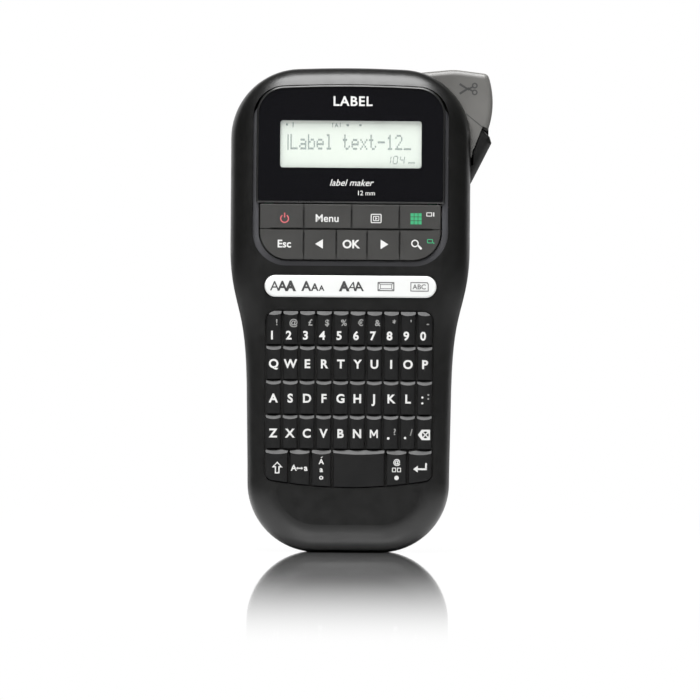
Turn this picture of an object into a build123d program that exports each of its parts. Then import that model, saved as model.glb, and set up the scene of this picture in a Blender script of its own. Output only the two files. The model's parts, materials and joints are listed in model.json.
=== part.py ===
"""Handheld label maker, standing on its bottom end. Millimetres, +Z up, the keys face -Y.

The origin is the centre of the flat that it stands on. The case is a front shell and a rear shell with a
cover on the back. Behind the keys lie a dome sheet and the main board, then the gear train and the chassis,
then the tape cassette at the top and the cells below it.
"""

import os
from math import acos, atan2, cos, pi, radians, sin, sqrt, tan

from build123d import *

# ---- case -------------------------------------------------------------------------------------------
HEIGHT = 207.0  # whole height
HEAD_HALF = 51.2  # half width of the head
HEAD_CORNER = 29.8  # radius of the head's top corners
HEAD_SHOULDER_Z = 176.7  # height of the centres of the top corners
HEAD_SWEEP = 88.0  # degrees that a top corner turns before the crown carries on
BASE_HALF = 13.6  # half width of the flat it stands on
BASE_CORNER = 29.5  # radius of the bottom corners
WAIST = [(43.45, 52.0), (44.0, 78.0), (46.3, 99.0), (49.4, 112.0)]  # half width at each height
WAIST_TOP_Z = 130.0
WALL = 2.2
FRONT_Y = -19.0  # front face
GRIP_BACK_Y = 19.0
HEAD_BACK_Y = 38.0
BACK_RISE = [(GRIP_BACK_Y, 84.0), (HEAD_BACK_Y, 116.0)]  # the back steps out between these (y, z)
RISE_FULLNESS = 1.3  # how long the step keeps to its end directions
SPLIT_Y = -5.0  # where the front and rear shells meet
FRONT_ROUND = 12.0
BACK_ROUND = 6.0
GAP = 0.3  # play between pieces that move past each other
FIT = 0.15  # room round a plate that is laid in the case
OVERCUT = 1.0  # how far a cut runs past what it cuts
ALL = (-300.0, 300.0)  # a span past everything
TINY = 0.01

# ---- layers, from the front -------------------------------------------------------------------------
INSIDE_Y = FRONT_Y + WALL
CARRIER_BACK_Y = INSIDE_Y + 1.4
SHEET_BACK_Y = CARRIER_BACK_Y + 0.9
BOARD_BACK_Y = SHEET_BACK_Y + 1.6
GEAR_Y = (-1.0, 3.0)
CHASSIS_Y = (4.0, 6.0)
CASSETTE_Y = (8.0, 25.0)
TAPE_Y = (10.5, 22.5)
FRONT_CUT_Y = (FRONT_Y - OVERCUT, INSIDE_Y + 3.0)  # through the front wall, its round too

# ---- display ----------------------------------------------------------------------------------------
PANEL_HALF = 40.2  # display panel with its trim
PANEL_Z = (149.1, 197.8)  # bottom edge and the height where the arched top starts
PANEL_ARCH = 1.5
PANEL_CORNER = 12.0
PANEL_FACE_Y = FRONT_Y + 0.6
TRIM_FACE_Y = FRONT_Y + 0.2
TRIM_WIDTH = 0.75
TRIM_CHAMFER = 0.5
SMALL_CORNER = 0.8
DISPLAY_GAP = (1.5, 0.4)  # groove between the shell and the trim, at the sides and above
LCD_HALF = 30.1
LCD_Z = (164.1, 184.1)
LCD_CORNER = 1.2
CELL_BORDER = 2.9  # how far the display cell reaches past the window
CELL_RECESS = 0.5
CARRIER_HALF = 41.6
CARRIER_Z = (121.0, 199.6)
CARRIER_CORNERS = (13.0, 12.0)

# ---- openings in the front --------------------------------------------------------------------------
PAD_HALF = 38.6  # function pad
PAD_Z = (124.9, 148.6)
PAD_CORNER = 12.0
PAD_FACE_Y = FRONT_Y + 0.7
PAD_BACK_Y = -16.2
PAD_ROUND = 0.5
PAD_MARGIN = 2.6  # shell opening below the pad
STRIP_SIZE = (73.2, 9.3)  # white key strip
STRIP_X = 0.3
STRIP_Z = 113.55
STRIP_FACE_Y = FRONT_Y - 0.9
STRIP_ROUND = 0.9
STRIP_GAP = 0.45
BAY_HALF = 36.05  # keyboard bay
BAY_TOP_Z = 103.5
BAY_SIDE_Z = 31.0  # bottom of the bay at its sides
BAY_BOTTOM_Z = 27.7  # bottom of the bay at its middle
BAY_TOP_CORNER = 5.0
BAY_LOW_CORNER = 4.0
BAY_GAP = 0.5

# ---- keys -------------------------------------------------------------------------------------------
KEY_PITCH = 7.15
KEY_WIDTH = 6.2
KEY_COLUMNS = 10
ROW_TOPS = [102.9, 88.0, 73.3, 58.6]  # top edges of the four rows of ten
ROW_HEIGHT = 14.05
LAST_ROW_TOP = 43.8
LAST_ROW = {  # key name: its left and right edges
    "shift_key": (-35.3, -25.9),
    "case_key": (-24.9, -16.6),
    "accent_key": (-15.6, -7.5),
    "space_key": (-6.5, 15.3),
    "symbol_key": (16.3, 24.6),
    "enter_key": (25.6, 35.3),
}
KEY_BACK_Y = INSIDE_Y + 0.1
KEY_FACE_Y = FRONT_Y - 1.2  # crown of a keyboard key at mid height
KEY_CROWN = 0.55
KEY_CORNER = 0.5
KEY_TILT = 3.0  # degrees, the lower edge stands proud
KEY_BEVEL_Z = 1.35  # height of the bevel along a key's top edge
KEY_BEVEL_UP = 38.0  # degrees that the bevel looks up
KEY_GAP = 0.35
FUNCTION_ROWS = {  # row: the split lines between its keys
    "upper": [-19.8, 0.6, 20.9],
    "lower": [-19.8, -5.9, 7.2, 21.1],
}
FUNCTION_SPLIT_Z = 138.0
FUNCTION_NAMES = {
    "upper": ["power_key", "menu_key", "preview_key", "database_key"],
    "lower": ["esc_key", "left_key", "ok_key", "right_key", "zoom_key"],
}
GROOVE = (1.0, 0.7)  # width and depth of the wide part of the cuts in the pad
GROOVE_X = (-34.0, 35.0)
GROOVE_TOP_Z = 146.0
GROOVE_LOW_Z = 127.6
GROOVE_BREAK = 1.6  # from the middle groove to the start of the lower ones

# ---- cutter lever -----------------------------------------------------------------------------------
LEVER_Y = (-4.6, 24.0)
LEVER_PIVOT = (46.0, 171.0)
LEVER_HUB = 4.5
LEVER_TOP = [(29.0, 205.4), (44.0, 206.9), (58.4, 205.1)]  # left to right
LEVER_THUMB = (60.6, 192.5)  # middle of the rounded thumb side
LEVER_UNDER = [(58.8, 181.5), (56.4, 182.8), (52.0, 171.6)]
LEVER_INNER = [(41.5, 171.0), (38.5, 186.0), (29.0, 196.0), (29.0, 205.4)]
LEVER_ROUND = 2.4  # of the front edge
LEVER_CORNER = 2.5  # of the upper right corner
LEVER_BEND = 30.0  # where the top starts to fall
LEVER_BACK_Y = 28.3  # where the case starts again behind the lever
PIN_RADIUS = 1.5
PIN_Y = (-9.0, 33.0)
RUNNING = 0.05  # radial play of a shaft in its hole
SPRING_COILS_Y = (25.2, 26.2, 27.2)
POCKET = [(25.5, 215.0), (25.5, 190.0), (34.0, 176.0), (40.0, 165.6), (52.0, 165.6), (52.0, 172.0),
          (70.0, 196.0), (70.0, 215.0)]  # hollow in the rear shell for the lever
WING = [(50.0, 155.6), (52.1, 159.4), (60.2, 175.5), (59.4, 178.2), (56.2, 181.4), (52.5, 171.4),
        (52.5, 166.0), (49.6, 165.2)]  # fin on the rear shell under the lever
WING_Y = (-4.9, 24.4)
WING_EDGE = 2.4  # of the outer front edge
WEB = [(46.0, 160.0), (52.1, 160.0), (59.4, 177.0), (59.4, 182.8), (57.5, 184.5), (50.5, 174.8),
       (50.0, 167.0), (46.0, 166.5)]  # joins the wing to the shell behind the lever
WING_TIP_X = 58.0
WING_ROUND = 0.8
BLADE_TIP = (17.1, 198.0)
BLADE_BACK_X = 34.0
BLADE_THICK = 1.0
BLADE_BEVEL = 2.2

# ---- print mechanism --------------------------------------------------------------------------------
MODULE = 0.6
TEETH = {"pinion": 12, "idler": 40, "platen": 24, "ribbon": 24}
MOTOR_AT = (36.0, 128.0)
MOTOR_RADIUS = 10.0
MOTOR_LENGTH = 22.0
MOTOR_SHAFT = 1.0
MOTOR_HUB = 2.6
PLATEN_AT = (7.6, 178.0)
PLATEN_RADIUS = 4.0
PLATEN_END_Y = 26.2
PLATEN_TO_IDLER = -75.0  # degrees, direction from one gear's centre to the next
IDLER_TO_RIBBON = 225.0
SHAFT = 1.5
SPINDLE = 2.0
SPINDLE_END_Y = 22.0
TAPE_X = 12.0
TAPE_THICK = 0.2
TAPE_SLOT = 3.0
TAPE_END_Z = 186.0
CHASSIS_OUTLINE = [(-48, 104), (48, 104), (48, 158), (20, 162), (20, 197), (-48, 197)]
CASSETTE_RESTS = [(-31, 116), (18, 116), (-31, 154), (18, 154)]
BOARD_STANDOFFS = [(-34, 190), (-34, 108), (34, 108), (-34, 150)]
STANDOFF_RADIUS = 2.5
BEARING_ARM = 2.8  # thickness of the platen's outer bearing
HEAD_Z = (171.0, 185.0)
HEAD_THICK = (0.7, 2.4)  # from the tape to the front and back of the print head
SINK_Z = (168.0, 188.0)
SINK_BASE = 1.5
FIN = (2.5, 1.0, 3)  # length, thickness and pitch of the heat sink's fins
ANVIL_Z = (187.5, 201.0)
ANVIL_X = (TAPE_X - 1.7, TAPE_X - 0.6)

# ---- cassette ---------------------------------------------------------------------------------------
CASSETTE_X = (-35.0, 22.0)
CASSETTE_Z = (112.0, 158.0)
CASSETTE_WALL = 1.2
CASSETTE_CORNER = 3.0
ROLL_AT = (-18.0, 131.2)
ROLL_RADIUS = 15.0
ROLL_CORE = 4.0
SUPPLY_AT = (3.0, 127.5)
GUIDE_RADIUS = 3.0
SPOOL_RADIUS = 5.0
CASSETTE_WINDOW = [(-30.0, -8.0), (121.0, 141.0)]  # in the lid, over the roll

# ---- power ------------------------------------------------------------------------------------------
CELL_RADIUS = 5.25
CELL_LENGTH = 43.3
CELL_COUNT = 6
CELL_PITCH = 11.2
CELL_Y = 6.6
CELL_TIP = (1.9, 1.2)  # radius and height of the raised end
TRAY_Y = (0.0, 11.0)
TRAY_Z = (36.0, 84.7)
TRAY_WALL = 1.2
CRADLE = (0.6, 1.8)  # thickness and height of the ribs between cells
CONTACT_HALF = 4.0
CONTACT_THICK = 0.4
SPRING_RADIUS = 3.2
SPRING_TURNS = 3
WIRE = 0.4
JACK_AT = (12.0, 140.0)  # y and z of the power inlet
JACK_NOSE = 4.0
JACK_BODY_HALF = 4.5
JACK_BACK_X = -38.0
JACK_BORE = 2.75
JACK_PIN = 0.8

# ---- cover, catch and screws ------------------------------------------------------------------------
COVER_HALF = 36.0
COVER_Z = (24.0, 188.0)
COVER_CORNER = 9.0
COVER_FRONT_Y = 10.0
LATCH_HALF = 8.0
LATCH_TRAVEL = 2.0
LATCH_WINDOW_Z = (172.0, 185.0)
LATCH_CORNER = 1.2
LATCH_FLANGE = 2.0
LATCH_RIBS = 4
RIB_PITCH = 2.0
SCREWS = [(-30.0, 14.0), (30.0, 14.0), (-45.3, 150.0), (45.3, 150.0)]
SCREW_RADIUS = 1.2
SCREW_TIP_Y = -12.0
SCREW_HEAD = (2.4, 1.8)  # radius and height
SCREW_HEAD_Y = 4.0
SCREW_BORE = 2.8
CROSS_SLOT = (2.6, 1.6, 0.6)
FRONT_POST = 3.2
REAR_POST = 3.8

# ---- board ------------------------------------------------------------------------------------------
SHEET_HALF = 38.0
SHEET_Z = (25.5, 149.5)
SHEET_CORNER = 8.0
BOARD_HALF = 37.0
BOARD_Z = (26.0, 197.0)
BOARD_CORNER = 10.0
CHIP_HEIGHT = 1.5
CHIPS = [((-10, 4), (140, 154)), ((10, 18), (144, 152)), ((-28, -20), (120, 132)), ((-4, 6), (96, 104)),
         ((22, 30), (92, 96)), ((-26, -22), (168, 172))]  # x and z of each


# ---- helpers ----------------------------------------------------------------------------------------
def slab(face, y_front, y_back):
    """A front-view outline, with local x and y as X and Z, given depth from y_front to y_back."""
    return extrude(Pos(0, y_back, 0) * (Plane.XZ * face), y_back - y_front)


def block(x, y, z):
    """A box from its low and high limits on each axis."""
    size = [x[1] - x[0], y[1] - y[0], z[1] - z[0]]
    return Pos((x[0] + x[1]) / 2, (y[0] + y[1]) / 2, (z[0] + z[1]) / 2) * Box(*size)


def rod(at, radius, y_front, y_back):
    """A cylinder along Y at a place in the front view."""
    return slab(Pos(at[0], at[1]) * Circle(radius), y_front, y_back)


def outline(points):
    return make_face(Polyline(*points, close=True))


def rounded(half_width, z_low, z_high, corner):
    """A rounded rectangle about X = 0."""
    return Pos(0, (z_low + z_high) / 2) * RectangleRounded(2 * half_width, z_high - z_low, corner)


def edges_at_y(shape, y):
    return shape.edges().filter_by(lambda e: abs(e.bounding_box().min.Y - y) < 1e-3 and
                                   abs(e.bounding_box().max.Y - y) < 1e-3)


def save(shape, node):
    export_step(shape, f"parts/{node}.step")


# ---- case -------------------------------------------------------------------------------------------
def case_outline(inset):
    """Front silhouette, made smaller by inset: flat base, slim grip, waist, wide head, faintly arched top."""
    head_half = HEAD_HALF - inset
    shoulder_at = (HEAD_HALF - HEAD_CORNER, HEAD_SHOULDER_Z)
    side = [(half - inset, z) for half, z in WAIST]
    side = [(BASE_HALF + BASE_CORNER - inset, BASE_CORNER)] + side + [(head_half, WAIST_TOP_Z)]
    base = Line((0, inset), (BASE_HALF, inset))
    corner = CenterArc((BASE_HALF, BASE_CORNER), BASE_CORNER - inset, -90, 90)
    waist = Spline(*side, tangents=((0, 1), (0, 1)))
    wall = Line((head_half, WAIST_TOP_Z), (head_half, HEAD_SHOULDER_Z))
    shoulder = CenterArc(shoulder_at, HEAD_CORNER - inset, 0, HEAD_SWEEP)
    slope = tan(radians(90 - HEAD_SWEEP))
    crown = Spline(shoulder @ 1, (0, HEIGHT - inset), tangents=((-1, slope), (-1, 0)))
    right = Curve() + [base, corner, waist, wall, shoulder, crown]
    return make_face(right.edges() + mirror(right, Plane.YZ).edges())


def on_back_rim(edge, inset):
    """True for an edge where the back meets the sides, not for the lines across the back's step."""
    box = edge.bounding_box()
    (_, low_z), (_, high_z) = BACK_RISE
    in_step = low_z - 3 < edge.center().Z < high_z + 5
    across = box.size.Z < TINY or abs(edge.center().X) < 1
    return box.min.Y > GRIP_BACK_Y - inset - TINY and not (in_step and across)


def case_form(inset):
    """The closed case, made smaller by inset all round."""
    prism = slab(case_outline(inset), FRONT_Y + inset, HEAD_BACK_Y - inset)
    (grip_y, low_z), (head_y, high_z) = BACK_RISE
    back = Polyline((ALL[1], -OVERCUT), (grip_y - inset, -OVERCUT), (grip_y - inset, low_z + inset / 2))
    rise = Spline(back @ 1, (head_y - inset, high_z + inset / 2), tangents=((0, 1), (0, 1)),
                  tangent_scalars=(RISE_FULLNESS, RISE_FULLNESS))
    over = high_z + 2 * WALL
    close = Polyline(rise @ 1, (head_y - inset, over), (ALL[1], over), (ALL[1], -OVERCUT))
    notch = extrude(Plane.YZ * make_face([back, rise, close]), ALL[1], both=True)
    form = fillet(edges_at_y(prism - notch, FRONT_Y + inset), FRONT_ROUND - inset)
    rim = form.edges().filter_by(lambda e: on_back_rim(e, inset))
    return fillet(rim, BACK_ROUND - inset)


def arched(half, z_low, z_side, arch, top_corner, low_corner):
    """A panel outline about X = 0 with a faintly arched top."""
    sides = Polyline((-half, z_side), (-half, z_low), (half, z_low), (half, z_side))
    left, right = (-half, z_side), (half, z_side)
    top = ThreePointArc(right, (0, z_side + arch), left) if arch else Line(right, left)
    face = make_face([sides, top])
    face = fillet(face.vertices().filter_by(lambda v: v.Y > z_low + TINY), top_corner)
    return fillet(face.vertices().filter_by(lambda v: v.Y < z_low + TINY), low_corner)


def keyboard_bay(inset):
    """The keyboard opening: straight sides and a bottom edge that dips in the middle."""
    half = BAY_HALF - inset
    low = BAY_SIDE_Z + inset
    sides = Polyline((half, low), (half, BAY_TOP_Z - inset), (-half, BAY_TOP_Z - inset), (-half, low))
    dip = ThreePointArc((-half, low), (0, BAY_BOTTOM_Z + inset), (half, low))
    face = make_face([sides, dip])
    face = fillet(face.vertices().filter_by(lambda v: v.Y > low + TINY), BAY_TOP_CORNER - inset)
    return fillet(face.vertices().filter_by(lambda v: v.Y < low + TINY), BAY_LOW_CORNER - inset)


def display_opening():
    beside, above = DISPLAY_GAP
    return arched(PANEL_HALF + beside, PAD_Z[0] - PAD_MARGIN, PANEL_Z[1] + above, PANEL_ARCH,
                  PANEL_CORNER + beside, PAD_CORNER + PAD_MARGIN)


def front_half(form):
    return form & block(ALL, (ALL[0], SPLIT_Y), ALL)


def rear_half(form):
    return form & block(ALL, (SPLIT_Y, ALL[1]), ALL)


def front_shell(case, hollow):
    shell = front_half(case - hollow)
    shell -= slab(display_opening(), *FRONT_CUT_Y)
    strip = SlotOverall(STRIP_SIZE[0] + 2 * STRIP_GAP, STRIP_SIZE[1] + 2 * STRIP_GAP)
    shell -= slab(Pos(STRIP_X, STRIP_Z) * strip, *FRONT_CUT_Y)
    shell -= slab(keyboard_bay(0), *FRONT_CUT_Y)
    for at in SCREWS:
        shell += rod(at, FRONT_POST, FRONT_Y, SPLIT_Y) & case
        shell -= rod(at, SCREW_RADIUS, SCREW_TIP_Y - GAP, SPLIT_Y)
    shell += rod(LEVER_PIVOT, FRONT_POST, FRONT_Y, SPLIT_Y) & case
    return shell - rod(LEVER_PIVOT, PIN_RADIUS, PIN_Y[0], SPLIT_Y)


def wing():
    fin = slab(outline(WING), *WING_Y)
    middle = sum(WING_Y) / 2
    tip = fin.edges().filter_by(lambda e: abs(e.center().Y - middle) < TINY and e.center().X > WING_TIP_X)
    fin = fillet(tip, WING_ROUND)
    (low_x, low_z), (high_x, high_z) = WING[1:3]
    side_at = ((low_x + high_x) / 2, WING_Y[0], (low_z + high_z) / 2)
    outer = edges_at_y(fin, WING_Y[0]).sort_by_distance(side_at)[0]
    return fillet(outer, WING_EDGE) + slab(outline(WEB), WING_Y[1], LEVER_BACK_Y)


def rear_shell(case, hollow):
    shell = rear_half(case - hollow)
    shell -= slab(outline(POCKET), SPLIT_Y - OVERCUT, LEVER_BACK_Y)
    cover = rounded(COVER_HALF + GAP, COVER_Z[0] - GAP, COVER_Z[1] + GAP, COVER_CORNER)
    shell -= slab(cover, COVER_FRONT_Y, ALL[1])
    for at in SCREWS:
        shell += rear_half(rod(at, REAR_POST, SPLIT_Y, HEAD_BACK_Y) & case)
        shell -= rod(at, SCREW_RADIUS + RUNNING, SPLIT_Y, SCREW_HEAD_Y)
        shell -= rod(at, SCREW_BORE, SCREW_HEAD_Y, HEAD_BACK_Y + OVERCUT)
    shell += rod(LEVER_PIVOT, FRONT_POST, LEVER_BACK_Y, HEAD_BACK_Y - OVERCUT)
    shell -= rod(LEVER_PIVOT, PIN_RADIUS, LEVER_BACK_Y, PIN_Y[1])
    shell += wing()
    slot_x = (TAPE_X - TAPE_SLOT / 2, TAPE_X + TAPE_SLOT / 2)
    shell -= block(slot_x, (TAPE_Y[0] - 1, TAPE_Y[1] + 1), (HEIGHT - 3 * WALL, HEIGHT + OVERCUT))
    hole = Cylinder(JACK_NOSE + RUNNING, 4 * WALL)
    return shell - Pos(-HEAD_HALF, *JACK_AT) * Rot(0, 90, 0) * hole


def back_cover(case, hollow):
    cover = (case - hollow) & slab(rounded(COVER_HALF, *COVER_Z, COVER_CORNER), COVER_FRONT_Y, ALL[1])
    window_y = (HEAD_BACK_Y - 2 * WALL, HEAD_BACK_Y + OVERCUT)
    return cover - block((-LATCH_HALF - GAP, LATCH_HALF + GAP), window_y, LATCH_WINDOW_Z)


def cover_latch():
    """A sliding catch in the cover: a ribbed tab outside and a wider flange inside."""
    low = LATCH_WINDOW_Z[0] + GAP + LATCH_TRAVEL
    high = LATCH_WINDOW_Z[1] - GAP
    inside = HEAD_BACK_Y - WALL
    deep = inside - LATCH_FLANGE
    face = HEAD_BACK_Y - GAP
    tab = block((-LATCH_HALF, LATCH_HALF), (deep, face), (low, high))
    tab = fillet(tab.edges().filter_by(Axis.Y), LATCH_CORNER)
    flange_half = LATCH_HALF + LATCH_FLANGE
    flange = block((-flange_half, flange_half), (deep, inside - GAP), (low - 1, high + 1))
    rib_half = LATCH_HALF - LATCH_CORNER
    first = (low + high - (LATCH_RIBS - 1) * RIB_PITCH) / 2
    ribs = []
    for index in range(LATCH_RIBS):
        z = first + index * RIB_PITCH
        ribs.append(block((-rib_half, rib_half), (face - GAP, face + 0.5), (z - 0.4, z + 0.4)))
    return tab + flange + ribs


# ---- display ----------------------------------------------------------------------------------------
def panel_outline(inset):
    return arched(PANEL_HALF - inset, PANEL_Z[0] + inset, PANEL_Z[1] - inset, PANEL_ARCH,
                  PANEL_CORNER - inset, SMALL_CORNER)


def window_outline(border, corner):
    return rounded(LCD_HALF + border, LCD_Z[0] - border, LCD_Z[1] + border, corner)


def display_trim():
    ring = slab(panel_outline(0), TRIM_FACE_Y, INSIDE_Y)
    ring = chamfer(edges_at_y(ring, TRIM_FACE_Y), TRIM_CHAMFER)
    return ring - slab(panel_outline(TRIM_WIDTH), FRONT_Y - OVERCUT, INSIDE_Y)


def display_panel():
    plate = slab(panel_outline(TRIM_WIDTH), PANEL_FACE_Y, INSIDE_Y)
    return plate - slab(window_outline(0, LCD_CORNER), PANEL_FACE_Y - OVERCUT, INSIDE_Y)


def display_window():
    return slab(window_outline(0, LCD_CORNER), PANEL_FACE_Y, INSIDE_Y)


def panel_carrier(room):
    """The plate that holds the display panel and the cell, and frames the function pad."""
    face = arched(CARRIER_HALF, *CARRIER_Z, PANEL_ARCH, *CARRIER_CORNERS)
    plate = slab(face, INSIDE_Y, CARRIER_BACK_Y) & room
    plate -= slab(pad_outline(-BAY_GAP), *FRONT_CUT_Y)
    return plate - slab(window_outline(CELL_BORDER + GAP, LCD_CORNER), *FRONT_CUT_Y)


def lcd_cell():
    return slab(window_outline(CELL_BORDER, LCD_CORNER), INSIDE_Y + 0.05, CARRIER_BACK_Y)


def lcd_frame():
    back = slab(window_outline(1.5 * CELL_BORDER, LCD_CORNER), CARRIER_BACK_Y, SHEET_BACK_Y)
    return back - slab(window_outline(0, LCD_CORNER), CARRIER_BACK_Y - OVERCUT, CARRIER_BACK_Y + CELL_RECESS)


# ---- keys -------------------------------------------------------------------------------------------
def pad_outline(inset):
    low, high = PAD_Z
    return arched(PAD_HALF - inset, low + inset, high - inset, 0, SMALL_CORNER, PAD_CORNER - inset)


def cut_between(pad, x, z, groove_x, groove_z):
    """Cuts the pad through along a narrow line, with a wider and shallower groove over part of it."""
    pad -= block(x, (PAD_FACE_Y - OVERCUT, PAD_BACK_Y + OVERCUT), z)
    return pad - block(groove_x, (PAD_FACE_Y - OVERCUT, PAD_FACE_Y + GROOVE[1]), groove_z)


def function_keys():
    """One moulded pad, cut into its keys."""
    pad = slab(pad_outline(0), PAD_FACE_Y, PAD_BACK_Y)
    pad = fillet(edges_at_y(pad, PAD_FACE_Y), PAD_ROUND)
    half_gap = KEY_GAP / 2
    half_groove = GROOVE[0] / 2
    split = FUNCTION_SPLIT_Z
    pad = cut_between(pad, ALL, (split - half_gap, split + half_gap),
                      GROOVE_X, (split - half_groove, split + half_groove))
    spans = {
        "upper": [(split, ALL[1]), (split, GROOVE_TOP_Z)],
        "lower": [(ALL[0], split), (GROOVE_LOW_Z, split - GROOVE_BREAK)],
    }
    for row, lines in FUNCTION_ROWS.items():
        cut_z, groove_z = spans[row]
        for x in lines:
            pad = cut_between(pad, (x - half_gap, x + half_gap), cut_z,
                              (x - half_groove, x + half_groove), groove_z)
    keys = {}
    for row, names in FUNCTION_NAMES.items():
        above = row == "upper"
        solids = [s for s in pad.solids() if (s.center().Z > split) == above]
        for name, solid in zip(names, sorted(solids, key=lambda s: s.center().X)):
            keys[name] = solid
    return keys


def shortcut_strip():
    bar = slab(Pos(STRIP_X, STRIP_Z) * SlotOverall(*STRIP_SIZE), STRIP_FACE_Y, PAD_BACK_Y)
    return fillet(edges_at_y(bar, STRIP_FACE_Y), STRIP_ROUND)


def key_cap(left, right, z_low, z_high):
    """A keyboard key: crowned from side to side, tilted, with a bevel along its upper edge."""
    half = (right - left) / 2
    height = z_high - z_low
    side_y = KEY_FACE_Y + KEY_CROWN
    profile = [Polyline((-half, side_y), (-half, 0), (half, 0), (half, side_y)),
               ThreePointArc((half, side_y), (0, KEY_FACE_Y), (-half, side_y))]
    face = make_face(profile)
    face = fillet(face.vertices().filter_by(lambda v: v.Y < side_y + TINY), KEY_CORNER)
    cap = Pos(0, 0, -height) * extrude(face, 2 * height)
    cap = Pos(0, KEY_FACE_Y, 0) * Rot(KEY_TILT, 0, 0) * Pos(0, -KEY_FACE_Y, 0) * cap
    cap &= block((-half, half), (ALL[0], KEY_BACK_Y), (-height / 2, height / 2))
    slope = tan(radians(KEY_BEVEL_UP))
    proud = 3.0
    foot_z = height / 2 - KEY_BEVEL_Z
    bevel = outline([(KEY_FACE_Y - proud, foot_z - proud / slope), (KEY_FACE_Y - proud, height / 2 + proud),
                     (KEY_FACE_Y + slope * (KEY_BEVEL_Z + proud), height / 2 + proud)])
    cap -= extrude(Plane.YZ * bevel, ALL[1], both=True)
    return Pos((left + right) / 2, 0, (z_low + z_high) / 2) * cap


def key_row(top, bay):
    """Ten keys side by side, trimmed to the rounded bay."""
    caps = []
    for column in range(KEY_COLUMNS):
        x = (column - (KEY_COLUMNS - 1) / 2) * KEY_PITCH
        caps += (key_cap(x - KEY_WIDTH / 2, x + KEY_WIDTH / 2, top - ROW_HEIGHT, top) & bay).solids()
    return Compound(caps)


def last_row_key(edges, bay):
    return key_cap(*edges, BAY_BOTTOM_Z - 1, LAST_ROW_TOP) & bay


# ---- gears ------------------------------------------------------------------------------------------
def involute(angle):
    return tan(angle) - angle


def gear_face(teeth, phase):
    """Involute teeth, a little slim so that meshing pairs keep some play."""
    pressure = radians(20)
    pitch_r = MODULE * teeth / 2
    base_r = pitch_r * cos(pressure)
    tip_r = pitch_r + 0.8 * MODULE
    root_r = pitch_r - 1.1 * MODULE
    radii = [root_r, max(base_r, root_r) + 0.01, (pitch_r + tip_r) / 2, tip_r]
    points = []
    for tooth in range(teeth):
        centre = phase + 2 * pi * tooth / teeth
        flank = []
        for r in radii:
            spread = involute(acos(base_r / max(r, base_r)))
            flank.append((r, 0.42 * pi / teeth + involute(pressure) - spread))
        points += [(r * cos(centre - a), r * sin(centre - a)) for r, a in flank]
        points += [(r * cos(centre + a), r * sin(centre + a)) for r, a in reversed(flank)]
    return outline(points)


def meshed_phase(phase, teeth, at, other_teeth, other_at):
    """The phase that puts a gap of the other gear over a tooth of this one."""
    direction = atan2(other_at[1] - at[1], other_at[0] - at[0])
    return direction + pi - (teeth * (phase - direction) - pi) / other_teeth


def gear(kind, at, phase, bore):
    face = Pos(*at) * (gear_face(TEETH[kind], phase) - Circle(bore))
    return slab(face, *GEAR_Y)


def axle_gear(kind, at, phase, radius, end_y):
    """A gear in one piece with its own axle."""
    return gear(kind, at, phase, radius / 2) + rod(at, radius, GEAR_Y[0] - GAP, end_y)


def at_distance(start, distance, degrees):
    return (start[0] + distance * cos(radians(degrees)), start[1] + distance * sin(radians(degrees)))


def circles_meet(a, ra, b, rb):
    """The upper-right point at distance ra from a and rb from b."""
    dx, dz = b[0] - a[0], b[1] - a[1]
    d = sqrt(dx * dx + dz * dz)
    along = (ra * ra - rb * rb + d * d) / (2 * d)
    across = sqrt(max(ra * ra - along * along, 0))
    return (a[0] + along * dx / d + across * dz / d, a[1] + along * dz / d - across * dx / d)


def centres(kind, other):
    """Distance between the centres of two meshed gears."""
    return MODULE * (TEETH[kind] + TEETH[other]) / 2


IDLER_2_AT = at_distance(PLATEN_AT, centres("platen", "idler"), PLATEN_TO_IDLER)
IDLER_1_AT = circles_meet(MOTOR_AT, centres("pinion", "idler"), IDLER_2_AT, centres("idler", "idler"))
RIBBON_AT = at_distance(IDLER_2_AT, centres("idler", "ribbon"), IDLER_TO_RIBBON)


def gear_train():
    idler_2 = meshed_phase(0, TEETH["platen"], PLATEN_AT, TEETH["idler"], IDLER_2_AT)
    idler_1 = meshed_phase(idler_2, TEETH["idler"], IDLER_2_AT, TEETH["idler"], IDLER_1_AT)
    pinion = meshed_phase(idler_1, TEETH["idler"], IDLER_1_AT, TEETH["pinion"], MOTOR_AT)
    ribbon = meshed_phase(idler_2, TEETH["idler"], IDLER_2_AT, TEETH["ribbon"], RIBBON_AT)
    return {
        "platen_gear": gear("platen", PLATEN_AT, 0, SHAFT),
        "idler_gear_1": gear("idler", IDLER_1_AT, idler_1, SHAFT + RUNNING),
        "idler_gear_2": gear("idler", IDLER_2_AT, idler_2, SHAFT + RUNNING),
        "motor_pinion": axle_gear("pinion", MOTOR_AT, pinion, MOTOR_SHAFT, CHASSIS_Y[1] + 3),
        "ribbon_drive": axle_gear("ribbon", RIBBON_AT, ribbon, SPINDLE, SPINDLE_END_Y),
    }


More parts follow.
